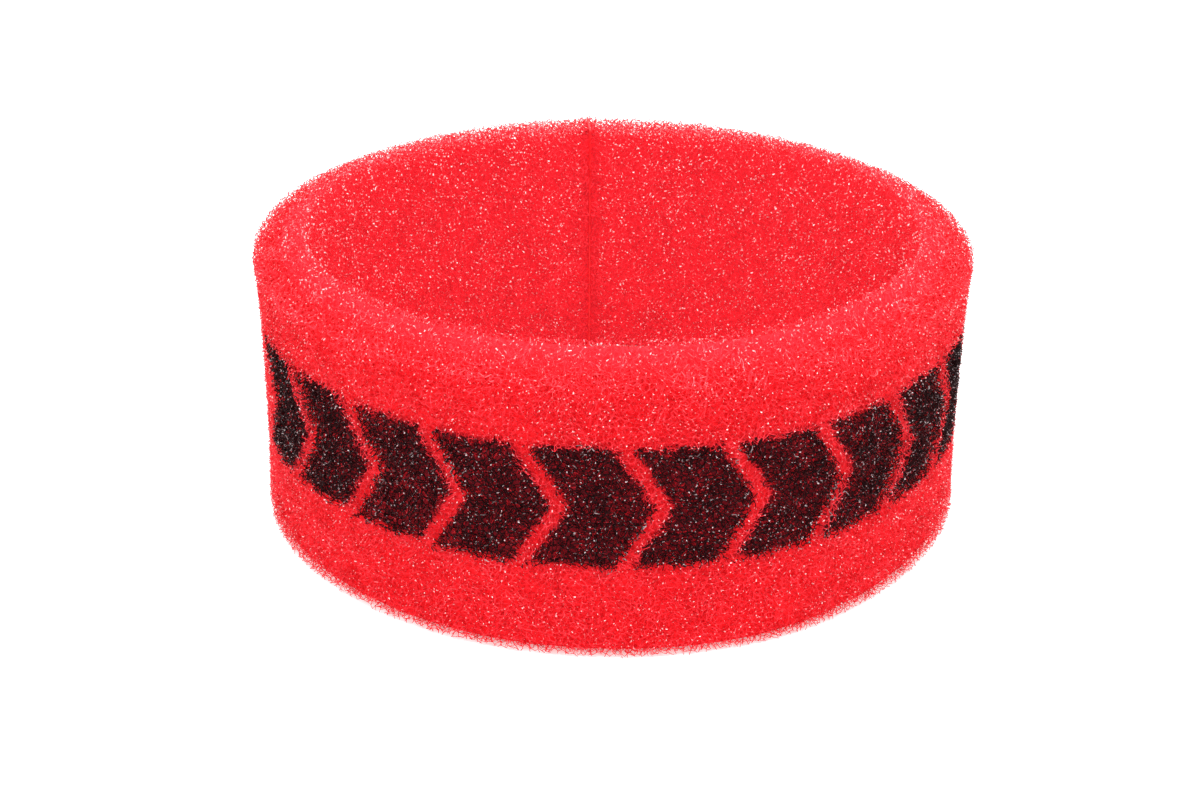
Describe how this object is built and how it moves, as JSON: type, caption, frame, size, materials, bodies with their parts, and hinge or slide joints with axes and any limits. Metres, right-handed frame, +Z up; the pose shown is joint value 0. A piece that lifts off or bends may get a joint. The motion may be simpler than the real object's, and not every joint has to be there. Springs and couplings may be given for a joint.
{
  "type": "air filter element",
  "caption": "Round open-cell foam air filter sleeve, glued end to end, with a printed band of chevrons round its outer face.",
  "frame": {"origin": "on the ring's axis, in the plane of its lower rim", "axes": "+Z up the ring's axis; -Y towards the printed front; the glued seam is at +Y"},
  "size_m": [0.13, 0.1308, 0.051],
  "materials": {
    "red_foam": "open-cell foam, bright red, matt with small glints on its strands",
    "seam_glue": "red-stained flexible contact adhesive, satin",
    "black_ink": "flexible black screen ink soaked into the foam's strands, low sheen"
  },
  "bodies": {
    "root": {"foam_band": "red_foam", "seam_adhesive": "seam_glue", "printed_marks": "black_ink"}
  },
  "joints": []
}
